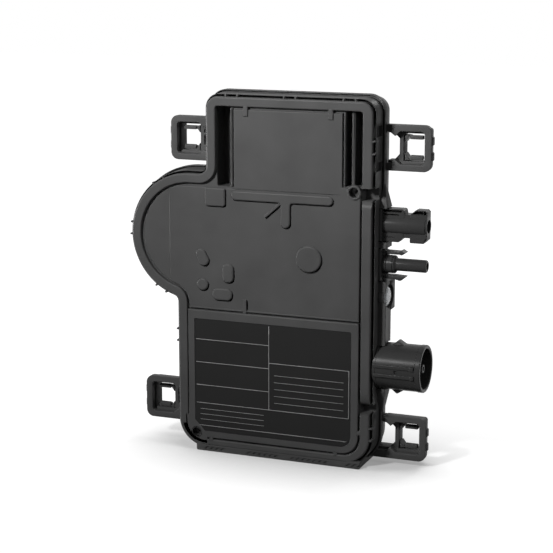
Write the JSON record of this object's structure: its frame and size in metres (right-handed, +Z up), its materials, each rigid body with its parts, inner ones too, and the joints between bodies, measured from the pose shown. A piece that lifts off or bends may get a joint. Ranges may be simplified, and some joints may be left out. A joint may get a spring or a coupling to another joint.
{
  "type": "micro inverter",
  "caption": "Flat sealed micro inverter housing with round bulge, two DC connectors, round AC connector, status light, label area and four mounting ears",
  "frame": {"origin": "middle of the foot front edge, at the height of the surface it stands on", "axes": "+X to the connector side, +Y from the front face to the back, +Z up along the height"},
  "size_m": [0.1794, 0.0302, 0.212],
  "materials": {
    "housing": "fine moulded texture",
    "connector": "smooth moulded",
    "latch": "smooth moulded",
    "label": "matt film",
    "steel": "zinc plated",
    "aluminium": "as rolled",
    "contact": "tin plated",
    "copper": "enamelled copper",
    "rubber": "silicone rubber",
    "pad": "soft heat-conducting pad",
    "lens": "clear, polished",
    "led": "white, translucent",
    "board": "solder mask",
    "ferrite": "sintered ferrite",
    "film_box": "potted film box",
    "can": "sleeved can",
    "chip": "moulded epoxy",
    "relay": "moulded case",
    "varistor": "dipped epoxy"
  },
  "bodies": {
    "housing": {"front_cover": "housing", "rear_housing": "housing", "ear_upper_left": "housing", "ear_upper_right": "housing", "ear_lower_left": "housing", "ear_lower_right": "housing", "housing_gasket": "rubber", "cover_screws": "steel", "label_plate": "label", "dc_socket_housing": "connector", "dc_socket_contact": "contact", "dc_plug_housing": "connector", "dc_plug_contact": "contact", "dc_seals": "rubber", "ac_connector_shell": "connector", "ac_pin_carrier": "connector", "ac_key_post": "connector", "ac_pins": "contact", "ac_seal": "rubber", "status_lens": "lens", "status_board": "board", "status_led": "led", "circuit_board": "board", "board_screws": "steel", "transformer_core": "ferrite", "transformer_winding": "copper", "filter_inductors": "copper", "film_capacitors": "film_box", "bulk_capacitors": "can", "dc_transistors": "chip", "ac_transistors": "chip", "heat_spreader": "aluminium", "thermal_pad": "pad", "control_chips": "chip", "ac_relay": "relay", "surge_absorbers": "varistor", "dc_lead_bars": "copper", "ac_lead_bars": "copper"},
    "latch_upper": {"dc_latch_upper": "latch"},
    "latch_lower": {"dc_latch_lower": "latch"}
  },
  "joints": [
    {"name": "latch_upper_hinge", "type": "hinge", "parent": "housing", "child": "latch_upper", "pos_m": [0.0602, 0.0152, 0.1244], "axis": [0, 1, 0], "range_deg": [0, 6], "stiffness_Nm_per_rad": 0.5},
    {"name": "latch_lower_hinge", "type": "hinge", "parent": "housing", "child": "latch_lower", "pos_m": [0.0602, 0.0152, 0.1106], "axis": [0, -1, 0], "range_deg": [0, 6], "stiffness_Nm_per_rad": 0.5}
  ]
}
